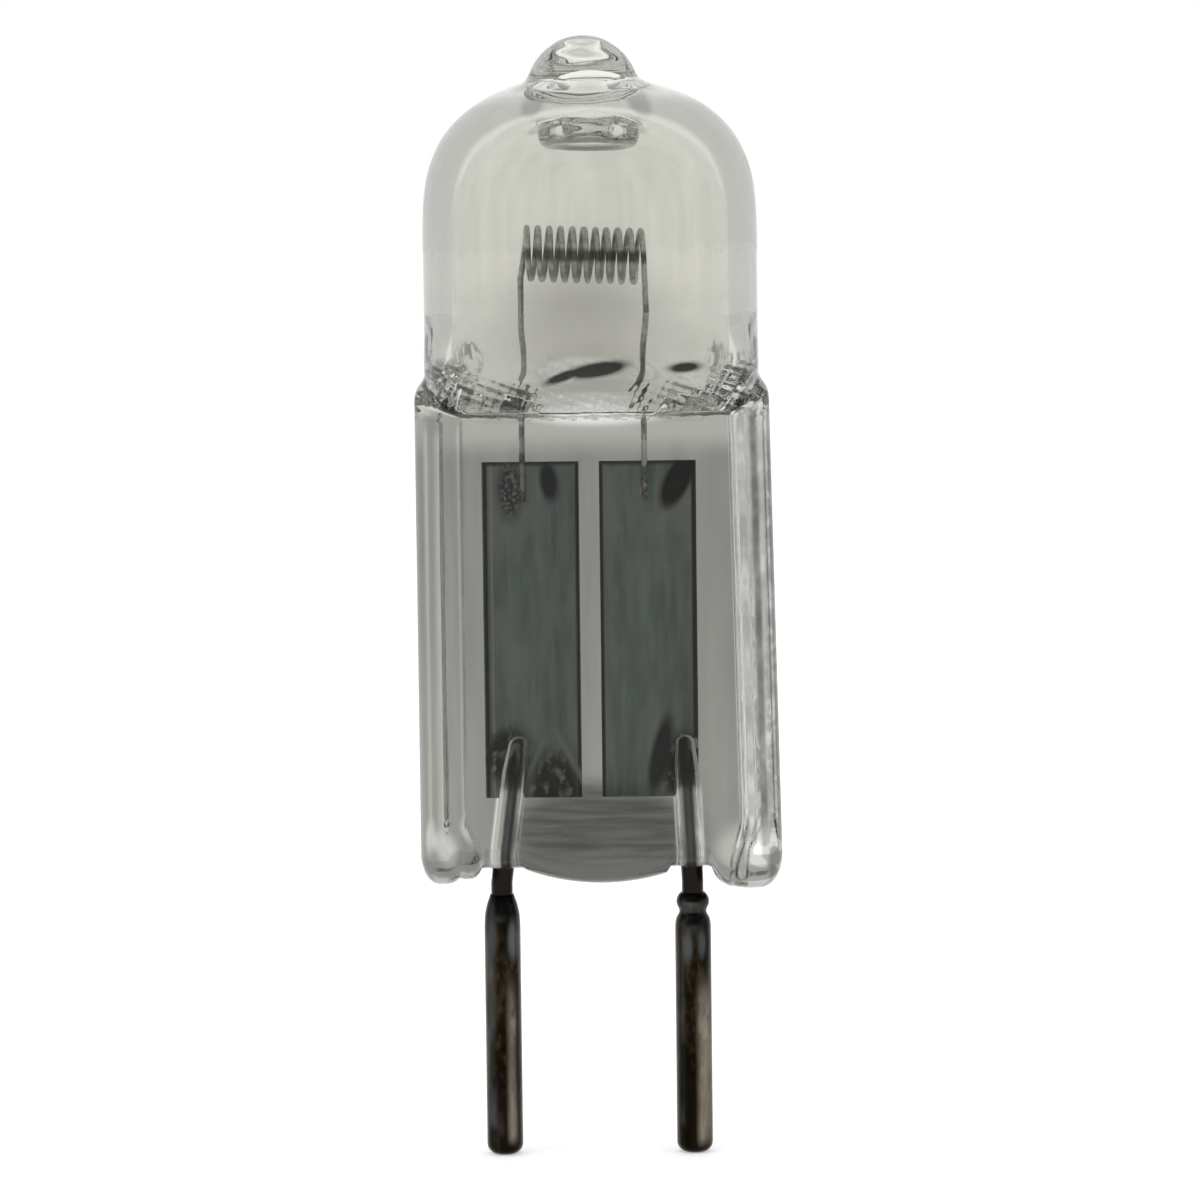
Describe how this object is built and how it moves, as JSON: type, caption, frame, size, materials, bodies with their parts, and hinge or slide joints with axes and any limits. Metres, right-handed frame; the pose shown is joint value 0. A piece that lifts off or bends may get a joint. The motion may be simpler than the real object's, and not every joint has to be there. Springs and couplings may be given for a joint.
{
  "type": "halogen capsule bulb",
  "caption": "Clear quartz capsule bulb with a coiled filament, a flat pinch seal and straight contact pins.",
  "frame": {"origin": "middle of the two contact pins, in the plane of their tips", "axes": "+Z from the pins to the exhaust tip, +X from the left pin to the right pin, +Y through the thin side of the pinch seal"},
  "size_m": [0.0119, 0.011, 0.0372],
  "materials": {
    "quartz": "clear fused quartz, slightly wavy",
    "tungsten": "drawn tungsten wire, dull grey",
    "foil": "thin sealing foil, dull blue-grey",
    "lead": "grey wire, bright inside the glass, darkened outside",
    "pin": "heat-darkened brown-black metal"
  },
  "bodies": {
    "root": {"quartz_envelope": "quartz", "filament": "tungsten", "foil_left": "foil", "foil_right": "foil", "lead_wire_left": "lead", "lead_wire_right": "lead", "contact_pin_left": "pin", "contact_pin_right": "pin"}
  },
  "joints": []
}
